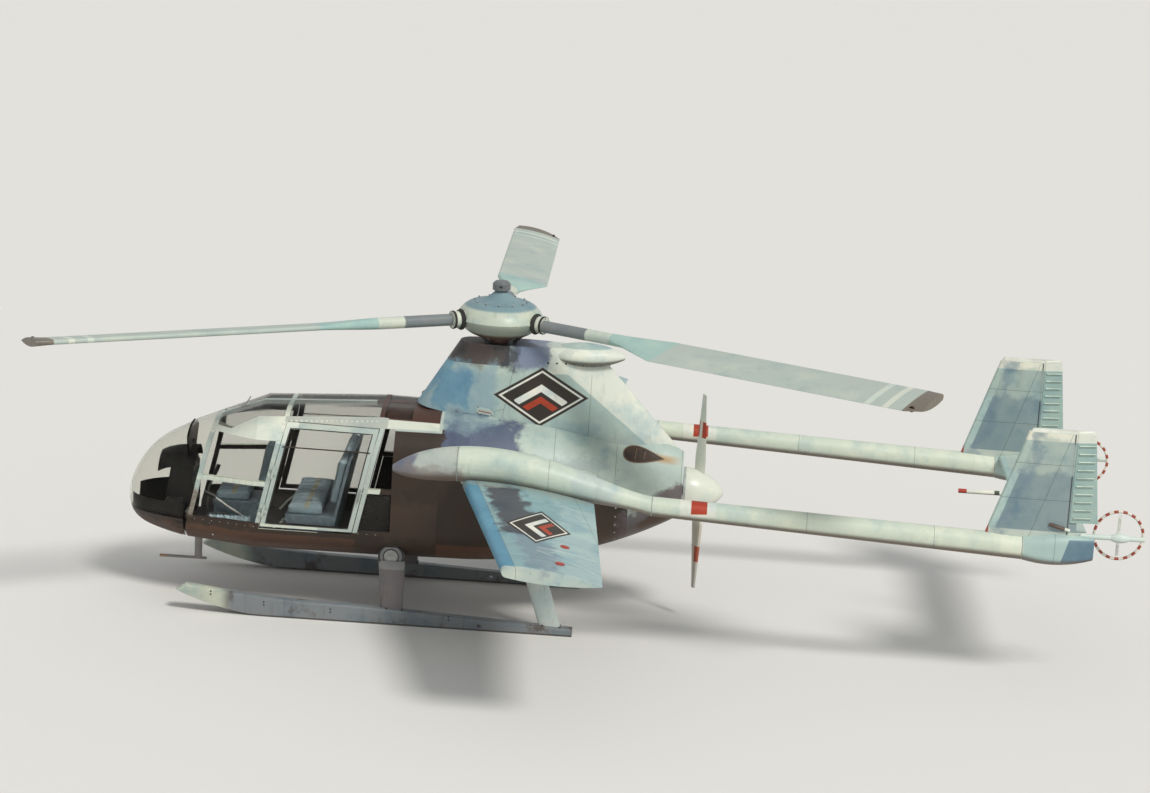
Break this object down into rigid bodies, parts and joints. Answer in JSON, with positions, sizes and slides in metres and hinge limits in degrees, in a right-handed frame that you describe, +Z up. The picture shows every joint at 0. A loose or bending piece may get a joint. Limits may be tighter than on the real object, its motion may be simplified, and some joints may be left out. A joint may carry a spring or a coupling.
{
  "type": "gyrodyne",
  "caption": "Gyrodyne with a glazed cabin pod, lifting rotor on a tall pylon, short wings, twin tail booms, pusher propeller and skid landing gear.",
  "frame": {"origin": "on the floor under the rotor mast, on the line of the ground-handling axle's bore", "axes": "+X to the nose, +Y to the port side, +Z up"},
  "size_m": [10.4527, 8.687, 3.2902],
  "materials": {
    "pod_skin": "painted, satin",
    "glazing": "clear acrylic, glossy",
    "pylon_skin": "painted pale blue-green, satin",
    "tail_skin": "painted pale grey-blue, satin",
    "control_skin": "painted pale grey, satin",
    "rotor_metal": "satin",
    "blade_skin": "painted, satin",
    "propeller_metal": "satin",
    "leg_paint": "painted grey, satin",
    "probe_metal": "satin",
    "cabin_lining": "painted dark, matte",
    "engine_metal": "matte",
    "seat_metal": "painted, matte",
    "seat_cloth": "woven cloth, matte"
  },
  "bodies": {
    "airframe": {"boom_nacelle_port": "pylon_skin", "boom_nacelle_starboard": "pylon_skin", "cabin_floor": "cabin_lining", "cabin_roof_frame": "pod_skin", "cabin_side_frame_port": "pod_skin", "cabin_side_frame_starboard": "pod_skin", "cabin_tub": "pod_skin", "engine_block": "engine_metal", "engine_cowl": "pod_skin", "fin_port": "tail_skin", "fin_starboard": "tail_skin", "firewall": "cabin_lining", "front_leg_port": "leg_paint", "front_leg_starboard": "leg_paint", "front_windows": "glazing", "instrument_console": "cabin_lining", "nose_bubble": "glazing", "pilot_seat_back_cushion": "seat_cloth", "pilot_seat_frame": "seat_metal", "pilot_seat_pan_cushion": "seat_cloth", "pitot_probe": "probe_metal", "rear_bench_back_cushion": "seat_cloth", "rear_bench_frame": "seat_metal", "rear_bench_pan_cushion": "seat_cloth", "rear_leg_port": "leg_paint", "rear_leg_starboard": "leg_paint", "rear_windows": "glazing", "roof_glass": "glazing", "rotor_pylon": "pylon_skin", "skid_port": "leg_paint", "skid_starboard": "leg_paint", "tail_boom_port": "tail_skin", "tail_boom_starboard": "tail_skin", "tail_pod_port": "tail_skin", "tail_pod_starboard": "tail_skin", "tail_rotor_arm_port": "tail_skin", "tail_rotor_arm_starboard": "tail_skin", "tailplane": "tail_skin", "wing_port": "pylon_skin", "wing_starboard": "pylon_skin", "wing_stub_port": "pylon_skin", "wing_stub_starboard": "pylon_skin"},
    "main_rotor": {"rotor_head": "rotor_metal", "rotor_blade_1": "blade_skin", "rotor_blade_2": "blade_skin", "rotor_blade_3": "blade_skin"},
    "pusher_propeller": {"propeller": "propeller_metal"},
    "port_tail_rotor": {"tail_rotor_port": "propeller_metal"},
    "starboard_tail_rotor": {"tail_rotor_starboard": "propeller_metal"},
    "port_rudder": {"rudder_port": "control_skin"},
    "starboard_rudder": {"rudder_starboard": "control_skin"},
    "elevator_panel": {"elevator": "control_skin"},
    "port_door": {"door_port": "pod_skin", "door_window_port": "glazing"},
    "starboard_door": {"door_starboard": "pod_skin", "door_window_starboard": "glazing"}
  },
  "joints": [
    {"name": "main_rotor_spin", "type": "hinge", "parent": "airframe", "child": "main_rotor", "pos_m": [0, 0, 2.93], "axis": [0, 0, 1], "continuous": true},
    {"name": "propeller_spin", "type": "hinge", "parent": "airframe", "child": "pusher_propeller", "pos_m": [-2.045, 0, 1.31], "axis": [1, 0, 0], "continuous": true},
    {"name": "port_tail_rotor_spin", "type": "hinge", "parent": "airframe", "child": "port_tail_rotor", "pos_m": [-5.97, 1.385, 1.525], "axis": [0, 1, 0], "continuous": true},
    {"name": "starboard_tail_rotor_spin", "type": "hinge", "parent": "airframe", "child": "starboard_tail_rotor", "pos_m": [-5.97, -1.385, 1.525], "axis": [0, 1, 0], "continuous": true},
    {"name": "port_rudder_hinge", "type": "hinge", "parent": "airframe", "child": "port_rudder", "pos_m": [-5.5, 1.49, 1.65], "axis": [0, 0, 1], "range_deg": [-25, 25]},
    {"name": "starboard_rudder_hinge", "type": "hinge", "parent": "airframe", "child": "starboard_rudder", "pos_m": [-5.5, -1.49, 1.65], "axis": [0, 0, 1], "range_deg": [-25, 25]},
    {"name": "elevator_hinge", "type": "hinge", "parent": "airframe", "child": "elevator_panel", "pos_m": [-5.48, 0, 1.49], "axis": [0, 1, 0], "range_deg": [-20, 25]},
    {"name": "port_door_hinge", "type": "hinge", "parent": "airframe", "child": "port_door", "pos_m": [2.1188, 0.756, 1.2], "axis": [-0.2055, 0, 0.9787], "range_deg": [-75, 0]},
    {"name": "starboard_door_hinge", "type": "hinge", "parent": "airframe", "child": "starboard_door", "pos_m": [2.1188, -0.756, 1.2], "axis": [-0.2055, 0, 0.9787], "range_deg": [0, 75]}
  ],
  "couplings": [
    {"joint": "starboard_rudder_hinge", "follows": "port_rudder_hinge", "ratio": 1}
  ]
}
